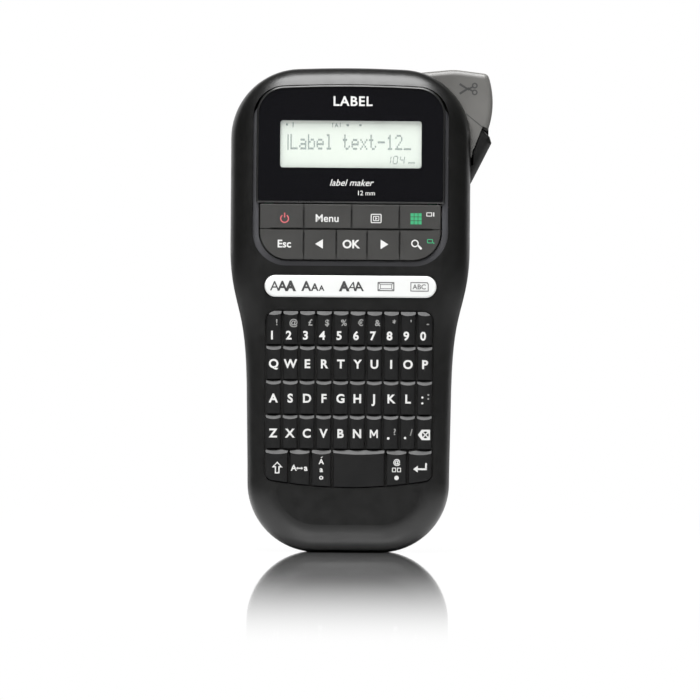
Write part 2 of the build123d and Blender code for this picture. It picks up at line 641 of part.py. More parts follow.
# ---- print mechanism --------------------------------------------------------------------------------
def chassis(room):
    plate = slab(outline(CHASSIS_OUTLINE), *CHASSIS_Y) & room
    for at in SCREWS[2:]:
        plate -= rod(at, REAR_POST + GAP, *ALL)
    plate -= rod(MOTOR_AT, MOTOR_HUB + GAP, *ALL)
    for at in CASSETTE_RESTS:
        plate += rod(at, STANDOFF_RADIUS, CHASSIS_Y[1], CASSETTE_Y[0])
    for at in BOARD_STANDOFFS:
        plate += rod(at, STANDOFF_RADIUS, BOARD_BACK_Y, CHASSIS_Y[0])
    for at in [IDLER_1_AT, IDLER_2_AT]:
        plate += rod(at, SHAFT, GEAR_Y[0] - GAP, CHASSIS_Y[0])
        plate += rod(at, 2 * SHAFT, GEAR_Y[1] + GAP, CHASSIS_Y[0])
    x, z = PLATEN_AT
    arm_x = x - PLATEN_RADIUS - 2
    arm_z = (z - PLATEN_RADIUS, z + PLATEN_RADIUS)
    end_y = PLATEN_END_Y + 0.2
    plate += block((arm_x - 5.5, arm_x), (CHASSIS_Y[1], end_y), arm_z)
    plate += block((arm_x - 5.5, x + 2 * SHAFT), (end_y - BEARING_ARM, end_y), arm_z)
    plate -= rod(PLATEN_AT, SHAFT + RUNNING, 0, ALL[1])
    return plate - rod(RIBBON_AT, SPINDLE + RUNNING, 0, ALL[1])


def motor():
    back_y = CHASSIS_Y[1] + MOTOR_LENGTH
    can = rod(MOTOR_AT, MOTOR_RADIUS, CHASSIS_Y[1], back_y)
    can = fillet(edges_at_y(can, back_y), 1.0)
    can += rod(MOTOR_AT, MOTOR_HUB, back_y - OVERCUT, back_y + 1.2)
    return can - rod(MOTOR_AT, MOTOR_SHAFT + RUNNING, CHASSIS_Y[1] - OVERCUT, CHASSIS_Y[1] + 3.4)


def head_bracket():
    """The heat sink that carries the print head, with fins away from the tape."""
    y = (CHASSIS_Y[1], TAPE_Y[1] + 0.5)
    base_x = TAPE_X + HEAD_THICK[1]
    fin_x = base_x + SINK_BASE
    length, thickness, pitch = FIN
    base = block((base_x, fin_x), y, SINK_Z)
    feet = range(int(SINK_Z[0]) + 1, int(SINK_Z[1]), pitch)
    return base + [block((fin_x, fin_x + length), y, (z, z + thickness)) for z in feet]


def thermal_head():
    near, far = HEAD_THICK
    return block((TAPE_X + near, TAPE_X + far), (TAPE_Y[0] - 0.5, TAPE_Y[1] + 0.5), HEAD_Z)


def anvil():
    return block(ANVIL_X, (CHASSIS_Y[1], TAPE_Y[1] + 1), ANVIL_Z)


def platen_roller():
    return slab(Pos(*PLATEN_AT) * (Circle(PLATEN_RADIUS) - Circle(SHAFT)), TAPE_Y[0] - 0.5, TAPE_Y[1] + 0.5)


# ---- cutter -----------------------------------------------------------------------------------------
def cutter_lever():
    """A thick plate with a rounded thumb side, narrowing to its hub."""
    hub_x, hub_z = LEVER_PIVOT
    thumb = ThreePointArc(LEVER_TOP[-1], LEVER_THUMB, LEVER_UNDER[0])
    hub = ThreePointArc(LEVER_UNDER[-1], (hub_x, hub_z - LEVER_HUB), LEVER_INNER[0])
    face = make_face([Polyline(*LEVER_TOP), thumb, Polyline(*LEVER_UNDER), hub, Polyline(*LEVER_INNER)])
    face = fillet(face.vertices().sort_by_distance(LEVER_TOP[-1])[0], LEVER_CORNER)
    face = fillet(face.vertices().sort_by_distance(LEVER_TOP[1])[0], LEVER_BEND)
    lever = slab(face, *LEVER_Y)
    right, low = LEVER_INNER[2][0] + 4, LEVER_UNDER[1][1]
    front = edges_at_y(lever, LEVER_Y[0]).filter_by(lambda e: e.center().Z > low and e.center().X > right)
    lever = fillet(front, LEVER_ROUND)
    lever -= rod(LEVER_PIVOT, PIN_RADIUS + RUNNING, *ALL)
    return lever - cutter_blade()


def cutter_blade():
    """A flat blade with a bevelled edge, held in the lever."""
    x, z = BLADE_TIP
    edge = [(x, z), (x + BLADE_BEVEL, z + BLADE_THICK), (BLADE_BACK_X, z + BLADE_THICK), (BLADE_BACK_X, z)]
    return slab(outline(edge), TAPE_Y[0] - 0.7, TAPE_Y[1] + 0.7)


def lever_spring():
    """Return spring round the pin, as close coils."""
    x, z = LEVER_PIVOT
    return Compound([(Pos(x, y, z) * Rot(90, 0, 0) * Torus(2.7, WIRE)).solid() for y in SPRING_COILS_Y])


# ---- cassette ---------------------------------------------------------------------------------------
def guide_at():
    """Centre of the post that turns the tape upwards."""
    return (TAPE_X - GUIDE_RADIUS - TAPE_THICK / 2, ROLL_AT[1] - ROLL_RADIUS + GUIDE_RADIUS)


def cassette_base():
    w = CASSETTE_WALL
    (left, right), (low, high) = CASSETTE_X, CASSETTE_Z
    floor_y = CASSETTE_Y[0] + w
    box = block(CASSETTE_X, (CASSETTE_Y[0], CASSETTE_Y[1] - w), CASSETTE_Z)
    box = fillet(box.edges().filter_by(Axis.Y), CASSETTE_CORNER)
    room = block((left + w, right - w), (floor_y, ALL[1]), (low + w, high - w))
    box -= fillet(room.edges().filter_by(Axis.Y), CASSETTE_CORNER - w)
    posts = [(ROLL_AT, ROLL_CORE), (SUPPLY_AT, SHAFT), (guide_at(), GUIDE_RADIUS - TAPE_THICK / 2)]
    for at, radius in posts:
        box += rod(at, radius, floor_y, TAPE_Y[1])
    box -= block((TAPE_X - 0.8, TAPE_X + 0.8), (TAPE_Y[0] - 0.7, ALL[1]), (high - 2 * w, high + OVERCUT))
    return box - rod(RIBBON_AT, 2 * SPINDLE, 0, floor_y + 1.8)


def cassette_lid():
    y = (CASSETTE_Y[1] - CASSETTE_WALL, CASSETTE_Y[1])
    plate = block(CASSETTE_X, y, CASSETTE_Z)
    plate = fillet(plate.edges().filter_by(Axis.Y), CASSETTE_CORNER)
    return plate - block(CASSETTE_WINDOW[0], ALL, CASSETTE_WINDOW[1])


def spool(at, radius, bore):
    return slab(Pos(*at) * (Circle(radius) - Circle(bore + RUNNING)), *TAPE_Y)


def label_tape():
    """From the foot of the roll to the guide, round it, and up past the print head."""
    low = ROLL_AT[1] - ROLL_RADIUS - TAPE_THICK
    path = FilletPolyline((ROLL_AT[0] + 2, low), (TAPE_X, low), (TAPE_X, TAPE_END_Z), radius=GUIDE_RADIUS)
    face = make_face(offset(path, TAPE_THICK / 2, side=Side.BOTH).edges())
    return slab(face, *TAPE_Y)


# ---- power ------------------------------------------------------------------------------------------
def cell_x(index):
    return (index - (CELL_COUNT - 1) / 2) * CELL_PITCH


def plus_up(index):
    """Every second cell is turned over."""
    return index % 2 == 0


def battery_tray():
    w = TRAY_WALL
    half = CELL_COUNT * CELL_PITCH / 2 + GAP
    floor_y = TRAY_Y[0] + w
    tub = block((-half - w, half + w), TRAY_Y, (TRAY_Z[0] - w, TRAY_Z[1] + w))
    tub -= block((-half, half), (floor_y, ALL[1]), TRAY_Z)
    thick, high = CRADLE
    for index in range(1, CELL_COUNT):
        x = cell_x(index) - CELL_PITCH / 2
        rib_z = (TRAY_Z[0] + 8, TRAY_Z[1] - 8)
        tub += block((x - thick / 2, x + thick / 2), (floor_y, floor_y + high), rib_z)
    return tub


def cell(index):
    tip_radius, tip_height = CELL_TIP
    body = Pos(0, 0, -tip_height / 2) * Cylinder(CELL_RADIUS, CELL_LENGTH - tip_height)
    body = fillet(body.edges().filter_by(GeomType.CIRCLE), 0.5)
    body += Pos(0, 0, CELL_LENGTH / 2 - tip_height) * Cylinder(tip_radius, 2 * tip_height)
    reach = CONTACT_THICK + CELL_LENGTH / 2
    z = TRAY_Z[1] - reach if plus_up(index) else TRAY_Z[0] + reach
    return Pos(cell_x(index), CELL_Y, z) * Rot(0 if plus_up(index) else 180, 0, 0) * body


def battery_contacts():
    """A plate at both ends of each cell and a spring at its flat end."""
    parts = []
    room = TRAY_Z[1] - TRAY_Z[0] - 2 * CONTACT_THICK - CELL_LENGTH
    y = (CELL_Y - CONTACT_HALF, CELL_Y + CONTACT_HALF)
    for index in range(CELL_COUNT):
        x = cell_x(index)
        for z in (TRAY_Z[0], TRAY_Z[1] - CONTACT_THICK):
            parts.append(block((x - CONTACT_HALF, x + CONTACT_HALF), y, (z, z + CONTACT_THICK)))
        start = TRAY_Z[0] + CONTACT_THICK if plus_up(index) else TRAY_Z[1] - CONTACT_THICK - room
        for turn in range(SPRING_TURNS):
            z = start + room * (turn + 0.5) / SPRING_TURNS
            parts.append(Pos(x, CELL_Y, z) * Torus(SPRING_RADIUS, WIRE))
    return Compound([p.solid() for p in parts])


def dc_jack():
    """A barrel socket with its centre pin, its nose in the hole in the left side."""
    y, z = JACK_AT
    half = JACK_BODY_HALF
    wall_x = -HEAD_HALF + WALL
    along = Rot(0, 90, 0)
    body = block((wall_x + 0.1, JACK_BACK_X), (y - half, y + half), (z - half, z + half))
    body += Pos(wall_x + 0.4, y, z) * along * Cylinder(JACK_NOSE, 4)
    body -= Pos(wall_x + 2.8, y, z) * along * Cylinder(JACK_BORE, 10)
    return body + Pos(wall_x + 4.3, y, z) * along * Cylinder(JACK_PIN, 9)


def case_screws():
    head_radius, head_height = SCREW_HEAD
    top_y = SCREW_HEAD_Y + head_height
    screws = []
    for at in SCREWS:
        screw = rod(at, head_radius, SCREW_HEAD_Y, top_y) + rod(at, SCREW_RADIUS, SCREW_TIP_Y, SCREW_HEAD_Y)
        for angle in (0, 90):
            screw -= Pos(at[0], top_y, at[1]) * Rot(0, angle, 0) * Box(*CROSS_SLOT)
        screws.append(screw.solid())
    return Compound(screws)


# ---- board ------------------------------------------------------------------------------------------
def keypad_sheet(room):
    return slab(rounded(SHEET_HALF, *SHEET_Z, SHEET_CORNER), CARRIER_BACK_Y, SHEET_BACK_Y) & room


def main_board():
    board = slab(rounded(BOARD_HALF, *BOARD_Z, BOARD_CORNER), SHEET_BACK_Y, BOARD_BACK_Y)
    for at in SCREWS[:2]:
        board -= rod(at, FRONT_POST + GAP, *ALL)
    return board


def board_parts():
    """The larger components on the back of the board."""
    y = (BOARD_BACK_Y, BOARD_BACK_Y + CHIP_HEIGHT)
    return Compound([block(x, y, z).solid() for x, z in CHIPS])


def main():
    os.makedirs("parts", exist_ok=True)
    case = case_form(0)
    hollow = case_form(WALL)
    room = case_form(WALL + FIT)
    bay = slab(keyboard_bay(BAY_GAP), ALL[0], KEY_BACK_Y)
    nodes = {
        "front_shell": front_shell(case, hollow),
        "rear_shell": rear_shell(case, hollow),
        "back_cover": back_cover(case, hollow),
        "cover_latch": cover_latch(),
        "display_trim": display_trim(),
        "display_panel": display_panel(),
        "display_window": display_window(),
        "panel_carrier": panel_carrier(room),
        "lcd_cell": lcd_cell(),
        "lcd_frame": lcd_frame(),
        "keypad_sheet": keypad_sheet(room),
        "main_board": main_board(),
        "board_parts": board_parts(),
        "shortcut_strip": shortcut_strip(),
        "chassis": chassis(room),
        "motor": motor(),
        "platen_shaft": rod(PLATEN_AT, SHAFT, GEAR_Y[0] - GAP, PLATEN_END_Y),
        "platen_roller": platen_roller(),
        "thermal_head": thermal_head(),
        "head_bracket": head_bracket(),
        "anvil": anvil(),
        "cutter_lever": cutter_lever(),
        "cutter_blade": cutter_blade(),
        "lever_pin": rod(LEVER_PIVOT, PIN_RADIUS, *PIN_Y),
        "lever_spring": lever_spring(),
        "cassette_base": cassette_base(),
        "cassette_lid": cassette_lid(),
        "tape_roll": spool(ROLL_AT, ROLL_RADIUS, ROLL_CORE),
        "ribbon_supply": spool(SUPPLY_AT, SPOOL_RADIUS, SHAFT),
        "ribbon_takeup": spool(RIBBON_AT, SPOOL_RADIUS, SPINDLE),
        "label_tape": label_tape(),
        "battery_tray": battery_tray(),
        "battery_cells": Compound([cell(index).solid() for index in range(CELL_COUNT)]),
        "battery_contacts": battery_contacts(),
        "dc_jack": dc_jack(),
        "case_screws": case_screws(),
    }
    nodes |= gear_train()
    nodes |= function_keys()
    for number, top in enumerate(ROW_TOPS, 1):
        nodes[f"key_row_{number}"] = key_row(top, bay)
    for name, edges in LAST_ROW.items():
        nodes[name] = last_row_key(edges, bay)
    for node, shape in nodes.items():
        save(shape, node)


main()
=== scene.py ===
"""Handheld label maker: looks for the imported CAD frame. Metres, +Z up, and the keys face -Y."""

import json
from math import cos, pi, radians, sin

import bmesh
import bpy
from mathutils import Matrix, Vector
from mathutils.bvhtree import BVHTree


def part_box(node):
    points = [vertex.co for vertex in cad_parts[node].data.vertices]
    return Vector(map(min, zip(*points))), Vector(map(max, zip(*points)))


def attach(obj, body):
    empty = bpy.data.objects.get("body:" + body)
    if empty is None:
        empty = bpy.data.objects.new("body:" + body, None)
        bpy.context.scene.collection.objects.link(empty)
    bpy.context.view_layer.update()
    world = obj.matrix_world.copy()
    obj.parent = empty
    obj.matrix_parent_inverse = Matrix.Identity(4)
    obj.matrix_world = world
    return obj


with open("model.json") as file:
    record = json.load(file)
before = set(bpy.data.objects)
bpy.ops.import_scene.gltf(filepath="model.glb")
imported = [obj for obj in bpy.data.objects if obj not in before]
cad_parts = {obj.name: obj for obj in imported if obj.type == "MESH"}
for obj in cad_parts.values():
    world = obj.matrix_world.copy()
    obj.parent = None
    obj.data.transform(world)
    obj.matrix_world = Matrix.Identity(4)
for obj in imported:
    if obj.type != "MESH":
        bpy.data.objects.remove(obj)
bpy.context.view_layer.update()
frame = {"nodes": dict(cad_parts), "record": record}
NODES = frame["nodes"]
MM = 0.001


# ---- numbers that the drawings share, in millimetres --------------------------------------------------
INK_DEPTH = 0.08  # thickness of printed marks; half of it stands proud
KEY_PITCH = 7.15
CAP_HEIGHT = 3.5  # of a capital on a letter key
STROKE = 0.45  # line width of the small symbols
BOLD = 0.03  # how much the outlines of heavy letters grow, per unit of text size
CURVED = 0.6  # width of the strips that let marks follow the crown of a key


# ---- materials ----------------------------------------------------------------------------------------
MIDDLE = (0.3, 0.7)  # where most of the noise lies


def shader(name, colour, rough, **sockets):
    """A Principled material with its constants set on the shader itself."""
    mat = bpy.data.materials.new(name)
    mat.use_nodes = True
    bsdf = mat.node_tree.nodes["Principled BSDF"]
    bsdf.inputs["Base Color"].default_value = (*colour, 1)
    bsdf.inputs["Roughness"].default_value = rough
    for key, value in sockets.items():
        bsdf.inputs[key.replace("_", " ")].default_value = value
    return mat, bsdf


def add_noise(mat, scale, detail=3.0, stretch=(1, 1, 1)):
    """Noise in the object's own space; scale is features per metre."""
    nodes, links = mat.node_tree.nodes, mat.node_tree.links
    coords = nodes.new("ShaderNodeTexCoord")
    mapping = nodes.new("ShaderNodeMapping")
    mapping.inputs["Scale"].default_value = stretch
    noise = nodes.new("ShaderNodeTexNoise")
    noise.inputs["Scale"].default_value = scale
    noise.inputs["Detail"].default_value = detail
    links.new(coords.outputs["Object"], mapping.inputs["Vector"])
    links.new(mapping.outputs["Vector"], noise.inputs["Vector"])
    return noise


def ramp(mat, source, low, high, out_low, out_high):
    """Maps a 0..1 value to another range."""
    node = mat.node_tree.nodes.new("ShaderNodeMapRange")
    node.inputs["From Min"].default_value = low
    node.inputs["From Max"].default_value = high
    node.inputs["To Min"].default_value = out_low
    node.inputs["To Max"].default_value = out_high
    mat.node_tree.links.new(source, node.inputs["Value"])
    return node.outputs["Result"]


def tint(mat, source, dark, light):
    """A colour between two colours, driven by a value."""
    node = mat.node_tree.nodes.new("ShaderNodeMix")
    node.data_type = "RGBA"
    node.inputs["A"].default_value = (*dark, 1)
    node.inputs["B"].default_value = (*light, 1)
    mat.node_tree.links.new(source, node.inputs["Factor"])
    return node.outputs["Result"]


def add_bump(mat, bsdf, height, depth, strength=1.0):
    bump = mat.node_tree.nodes.new("ShaderNodeBump")
    bump.inputs["Distance"].default_value = depth
    bump.inputs["Strength"].default_value = strength
    mat.node_tree.links.new(height, bump.inputs["Height"])
    mat.node_tree.links.new(bump.outputs["Normal"], bsdf.inputs["Normal"])


def scaled(colour, factor):
    return tuple(min(1.0, c * factor) for c in colour)


def moulded(name, colour, rough, grain=5200, depth=2e-5, spread=0.06, mottle=0.14, **sockets):
    """Moulded plastic or rubber: spark-eroded grain, uneven gloss and slightly cloudy colour."""
    mat, bsdf = shader(name, colour, rough, **sockets)
    fine = add_noise(mat, grain, 2.0)
    cloud = add_noise(mat, 46, 4.0)
    rub = add_noise(mat, 240, 5.0)
    links = mat.node_tree.links
    gloss = ramp(mat, rub.outputs["Fac"], *MIDDLE, rough - spread, rough + spread)
    links.new(gloss, bsdf.inputs["Roughness"])
    shade = ramp(mat, cloud.outputs["Fac"], *MIDDLE, 0.0, 1.0)
    cloudy = tint(mat, shade, scaled(colour, 1 - mottle), scaled(colour, 1 + mottle))
    links.new(cloudy, bsdf.inputs["Base Color"])
    if depth:
        add_bump(mat, bsdf, fine.outputs["Fac"], depth)
    return mat


def brushed(name, colour, rough, stretch):
    """Metal with fine drawn lines along one direction."""
    mat, bsdf = shader(name, colour, rough, Metallic=1.0)
    lines = add_noise(mat, 900, 4.0, stretch)
    links = mat.node_tree.links
    gloss = ramp(mat, lines.outputs["Fac"], *MIDDLE, rough - 0.08, rough + 0.12)
    links.new(gloss, bsdf.inputs["Roughness"])
    streaks = tint(mat, lines.outputs["Fac"], scaled(colour, 0.8), scaled(colour, 1.15))
    links.new(streaks, bsdf.inputs["Base Color"])
    add_bump(mat, bsdf, lines.outputs["Fac"], 1e-5, 0.6)
    return mat


def glossy_panel(name, colour):
    """Polished black acrylic with faint moulding waves and a little dust."""
    mat, bsdf = shader(name, colour, 0.06, Coat_Weight=0.6, Coat_Roughness=0.03)
    wave = add_noise(mat, 24, 2.0)
    dust = add_noise(mat, 3000, 5.0)
    gloss = ramp(mat, dust.outputs["Fac"], 0.45, 0.75, 0.05, 0.22)
    mat.node_tree.links.new(gloss, bsdf.inputs["Roughness"])
    add_bump(mat, bsdf, wave.outputs["Fac"], 4e-5, 0.4)
    return mat


def clear_window(name):
    """Thin clear acrylic with faint smears."""
    mat, bsdf = shader(name, (0.9, 0.95, 0.92), 0.05, Alpha=0.12)
    smear = add_noise(mat, 180, 4.0)
    gloss = ramp(mat, smear.outputs["Fac"], *MIDDLE, 0.03, 0.12)
    mat.node_tree.links.new(gloss, bsdf.inputs["Roughness"])
    return mat


def lcd_glass(name):
    """Reflective liquid-crystal cell: pale green, slightly cloudy, with a fine uneven gloss."""
    mat, bsdf = shader(name, (0.56, 0.62, 0.55), 0.45)
    cloud = add_noise(mat, 30, 2.0)
    grain = add_noise(mat, 2600, 1.0)
    links = mat.node_tree.links
    pale = tint(mat, cloud.outputs["Fac"], (0.49, 0.55, 0.50), (0.58, 0.61, 0.55))
    links.new(pale, bsdf.inputs["Base Color"])
    links.new(ramp(mat, grain.outputs["Fac"], *MIDDLE, 0.38, 0.5), bsdf.inputs["Roughness"])
    return mat


def board_mask(name):
    """Green solder mask over copper tracks."""
    mat, bsdf = shader(name, (0.02, 0.16, 0.07), 0.3)
    nodes, links = mat.node_tree.nodes, mat.node_tree.links
    coords = nodes.new("ShaderNodeTexCoord")
    swap = nodes.new("ShaderNodeMapping")
    swap.inputs["Rotation"].default_value = (radians(90), 0, 0)
    brick = nodes.new("ShaderNodeTexBrick")
    brick.inputs["Scale"].default_value = 160
    brick.inputs["Mortar Size"].default_value = 0.04
    brick.inputs["Color1"].default_value = (0.02, 0.15, 0.06, 1)
    brick.inputs["Color2"].default_value = (0.025, 0.19, 0.08, 1)
    brick.inputs["Mortar"].default_value = (0.06, 0.32, 0.12, 1)
    links.new(coords.outputs["Object"], swap.inputs["Vector"])
    links.new(swap.outputs["Vector"], brick.inputs["Vector"])
    links.new(brick.outputs["Color"], bsdf.inputs["Base Color"])
    add_bump(mat, bsdf, brick.outputs["Fac"], 2e-5, -0.6)
    return mat


def cell_sleeve(name):
    """Printed sleeve by height: bare metal, black, copper colour, and bare metal again."""
    mat, bsdf = shader(name, (0.3, 0.3, 0.3), 0.28, Metallic=0.7)
    nodes, links = mat.node_tree.nodes, mat.node_tree.links
    coords = nodes.new("ShaderNodeTexCoord")
    split = nodes.new("ShaderNodeSeparateXYZ")
    links.new(coords.outputs["Object"], split.inputs["Vector"])
    low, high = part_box("battery_cells")
    bands = nodes.new("ShaderNodeValToRGB")
    bands.color_ramp.interpolation = "CONSTANT"
    bare = (0.62, 0.62, 0.6)
    stops = [(0.0, bare), (0.13, (0.02, 0.02, 0.022)), (0.62, (0.62, 0.28, 0.07)), (0.9, bare)]
    elements = bands.color_ramp.elements
    for index, (place, colour) in enumerate(stops):
        element = elements[index] if index < 2 else elements.new(place)
        element.position = place
        element.color = (*colour, 1)
    links.new(ramp(mat, split.outputs["Z"], low.z, high.z, 0, 1), bands.inputs["Fac"])
    links.new(bands.outputs["Color"], bsdf.inputs["Base Color"])
    scuff = add_noise(mat, 600, 4.0)
    links.new(ramp(mat, scuff.outputs["Fac"], *MIDDLE, 0.2, 0.4), bsdf.inputs["Roughness"])
    return mat


MATERIALS = {
    "shell_black": moulded("shell black plastic", (0.004, 0.004, 0.0038), 0.32, depth=7e-6, spread=0.04),
    "trim_grey": moulded("trim satin plastic", (0.012, 0.012, 0.0118), 0.32, depth=4e-6),
    "panel_gloss": glossy_panel("panel gloss black", (0.004, 0.004, 0.005)),
    "window_clear": clear_window("window acrylic"),
    "lcd_glass": lcd_glass("display cell"),
    "plated_steel": brushed("plated steel", (0.62, 0.61, 0.58), 0.3, (1, 1, 0.1)),
    "inner_plastic": moulded("inner plastic", (0.045, 0.045, 0.05), 0.55, grain=3000, depth=3e-5),
    "keypad_rubber": moulded("keypad rubber", (0.024, 0.0235, 0.022), 0.52, grain=4200, depth=1.5e-5,
                             mottle=0.1),
    "key_black": moulded("key rubber", (0.003, 0.003, 0.0031), 0.38, grain=4800, depth=8e-6, spread=0.05,
                         Specular_IOR_Level=0.33),
    "strip_white": moulded("strip white", (0.61, 0.62, 0.61), 0.34, depth=5e-6, mottle=0.03),
    "board_green": board_mask("board mask"),
    "chip_black": moulded("chip epoxy", (0.012, 0.012, 0.013), 0.5, grain=2500, depth=2e-5),
    "motor_can": brushed("motor can", (0.55, 0.55, 0.53), 0.3, (0.15, 1, 0.15)),
    "ground_steel": brushed("ground steel", (0.68, 0.68, 0.67), 0.2, (1, 0.08, 1)),
    "gear_white": moulded("gear acetal", (0.78, 0.77, 0.72), 0.38, depth=8e-6, mottle=0.05),
    "platen_rubber": moulded("platen rubber", (0.02, 0.02, 0.021), 0.6, grain=2600, depth=3e-5),
    "head_ceramic": moulded("head ceramic", (0.72, 0.70, 0.64), 0.3, grain=3000, depth=6e-6, mottle=0.04),
    "head_aluminium": brushed("head aluminium", (0.75, 0.75, 0.76), 0.32, (1, 0.1, 1)),
    "lever_grey": moulded("lever plastic", (0.105, 0.103, 0.098), 0.36, depth=1.0e-5),
    "cassette_grey": moulded("cassette plastic", (0.20, 0.21, 0.22), 0.42, grain=3600, depth=2e-5),
    "tape_white": moulded("label tape", (0.86, 0.86, 0.83), 0.4, grain=1500, depth=1e-5, mottle=0.04),
    "cell_sleeve": cell_sleeve("cell sleeve"),
}
INK_WHITE = moulded("ink white", (0.58, 0.58, 0.57), 0.5, depth=4e-6, mottle=0.05)
INK_GREY = moulded("ink grey", (0.24, 0.24, 0.235), 0.5, depth=4e-6, mottle=0.05)
INK_RED = moulded("ink red", (0.46, 0.10, 0.11), 0.5, depth=4e-6, mottle=0.05)
INK_GREEN = moulded("ink green", (0.03, 0.30, 0.13), 0.5, depth=4e-6, mottle=0.05)
# dark ink for printed marks, also used for the painted shadow line across the lever
DARK_INK_AND_PAINTED_SHADOW = moulded("dark ink and painted shadow line", (0.035, 0.035, 0.035), 0.5, depth=4e-6, mottle=0.05)
INK_MID = moulded("ink mid grey", (0.12, 0.12, 0.12), 0.5, depth=4e-6, mottle=0.05)
LCD_DARK = moulded("display segments", (0.10, 0.145, 0.13), 0.5, depth=2e-6, mottle=0.12)


def dress_frame():
    """Gives every CAD node its procedural material."""
    slot_of = {row["node"]: row["material_slot"] for row in frame["record"]["subparts"]}
    for name, piece in NODES.items():
        mat = MATERIALS[slot_of[name]]
        piece.data.materials.clear()
        piece.data.materials.append(mat)


# ---- flat drawings ------------------------------------------------------------------------------------
# A shape is a list of closed loops; a loop inside another is a hole. Loops are in millimetres.
def rect(w, h):
    return [(-w / 2, -h / 2), (w / 2, -h / 2), (w / 2, h / 2), (-w / 2, h / 2)]


def disc(r, x=0.0, y=0.0, steps=28):
    return [(x + r * cos(2 * pi * i / steps), y + r * sin(2 * pi * i / steps)) for i in range(steps)]


def round_rect(w, h, r):
    loop = []
    for quarter in range(4):
        cx = (w / 2 - r) * (1 if quarter in (0, 3) else -1)
        cy = (h / 2 - r) * (1 if quarter in (0, 1) else -1)
        for step in range(7):
            angle = (quarter + step / 6) * pi / 2
            loop.append((cx + r * cos(angle), cy + r * sin(angle)))
    return loop


def line(a, b, width=STROKE):
    dx, dy = b[0] - a[0], b[1] - a[1]
    length = (dx * dx + dy * dy) ** 0.5
    nx, ny = -dy / length * width / 2, dx / length * width / 2
    return [(a[0] + nx, a[1] + ny), (a[0] - nx, a[1] - ny), (b[0] - nx, b[1] - ny), (b[0] + nx, b[1] + ny)]


def arc_band(r, start, end, width, steps=24):
    angles = [radians(start + (end - start) * i / steps) for i in range(steps + 1)]
    outer = [((r + width / 2) * cos(a), (r + width / 2) * sin(a)) for a in angles]
    inner = [((r - width / 2) * cos(a), (r - width / 2) * sin(a)) for a in reversed(angles)]
    return outer + inner


def framed(w, h, r, width):
    return [round_rect(w, h, r), round_rect(w - 2 * width, h - 2 * width, max(r - width, 0.05))]


def hoop(r, width, x=0.0, y=0.0):
    return [disc(r, x, y), disc(r - width, x, y)]


def curve_to_mesh(curve):
    """Turns a filled curve or text into a closed mesh and removes the curve."""
    holder = bpy.data.objects.new("drawing", curve)
    bpy.context.scene.collection.objects.link(holder)
    graph = bpy.context.evaluated_depsgraph_get()
    mesh = bpy.data.meshes.new_from_object(holder.evaluated_get(graph))
    bpy.data.objects.remove(holder)
    bpy.data.curves.remove(curve)
    return mesh


def shape_mesh(loops):
    curve = bpy.data.curves.new("shape", "CURVE")
    curve.dimensions = "2D"
    curve.fill_mode = "BOTH"
    curve.extrude = INK_DEPTH / 2
    for loop in loops:
        spline = curve.splines.new("POLY")
        spline.points.add(len(loop) - 1)
        for point, (u, v) in zip(spline.points, loop):
            point.co = (u, v, 0, 1)
        spline.use_cyclic_u = True
    return curve_to_mesh(curve)


def text_mesh(body, bold, spacing=1.0):
    curve = bpy.data.curves.new("text", "FONT")
    curve.body = body
    curve.align_x = "CENTER"
    curve.offset = bold
    curve.space_character = spacing
    curve.resolution_u = 4
    curve.extrude = INK_DEPTH / 2
    return curve_to_mesh(curve)


def cap_ratio():
    """Height of a capital in the built-in font at size 1."""
    mesh = text_mesh("H", 0)
    height = max(v.co.y for v in mesh.vertices)
    bpy.data.meshes.remove(mesh)
    return height


CAP_RATIO = cap_ratio()


class Drawing:
    """Collects marks in the front view, in millimetres, as one closed mesh."""

    def __init__(self):
        self.bm = bmesh.new()

    def add(self, mesh, x, z, scale=1.0, slant=0.0):
        """Local u, v and depth become X, Z and -Y; the outside of the mark faces -Y."""
        start = len(self.bm.verts)
        self.bm.from_mesh(mesh)
        self.bm.verts.ensure_lookup_table()
        for vert in self.bm.verts[start:]:
            u, v, d = vert.co
            vert.co = (x + (u + slant * v) * scale, -d, z + v * scale)
        bpy.data.meshes.remove(mesh)
        return self

    def shape(self, loops, x, z):
        return self.add(shape_mesh(loops), x, z)

    def text(self, body, x, z, height, bold=0.02, slant=0.0, spacing=1.0):
        """Text of a given capital height, centred on x and z."""
        size = height / CAP_RATIO
        return self.add(text_mesh(body, bold, spacing), x, z - height / 2, size, slant)

    def finish(self, name, mat, surface, body, slot, cut=0.0):
        """Lays the marks on a surface; cut is the width of the strips that let them curve."""
        bm = self.bm
        bmesh.ops.remove_doubles(bm, verts=bm.verts, dist=1e-4)
        if cut:
            low = min(v.co.x for v in bm.verts)
            high = max(v.co.x for v in bm.verts)
            for step in range(1, int((high - low) / cut) + 1):
                geometry = bm.verts[:] + bm.edges[:] + bm.faces[:]
                place = (low + step * cut, 0, 0)
                bmesh.ops.bisect_plane(bm, geom=geometry, plane_co=place, plane_no=(1, 0, 0))
        for vert in bm.verts:
            x, depth, z = vert.co
            vert.co = Vector((x * MM, surface(x * MM, z * MM) + depth * MM, z * MM))
        bmesh.ops.recalc_face_normals(bm, faces=bm.faces)
        mesh = bpy.data.meshes.new(name)
        bm.to_mesh(mesh)
        bm.free()
        mesh.materials.append(mat)
        piece = bpy.data.objects.new(name, mesh)
        bpy.context.scene.collection.objects.link(piece)
        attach(piece, body)


def front_of(*names):
    """A function that gives the front surface's y at x, z over the named CAD nodes."""
    trees = []
    for name in names:
        mesh = NODES[name].data
        corners = [v.co for v in mesh.vertices]
        trees.append(BVHTree.FromPolygons(corners, [p.vertices for p in mesh.polygons]))
    fallback = min(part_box(name)[0].y for name in names)

    def surface(x, z):
        hits = [tree.ray_cast(Vector((x, -0.1, z)), Vector((0, 1, 0)))[0] for tree in trees]
        ys = [hit.y for hit in hits if hit]
        return min(ys) if ys else fallback

    return surface


def middle_x(name):
    low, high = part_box(name)
    return ((low + high) / 2 / MM).x


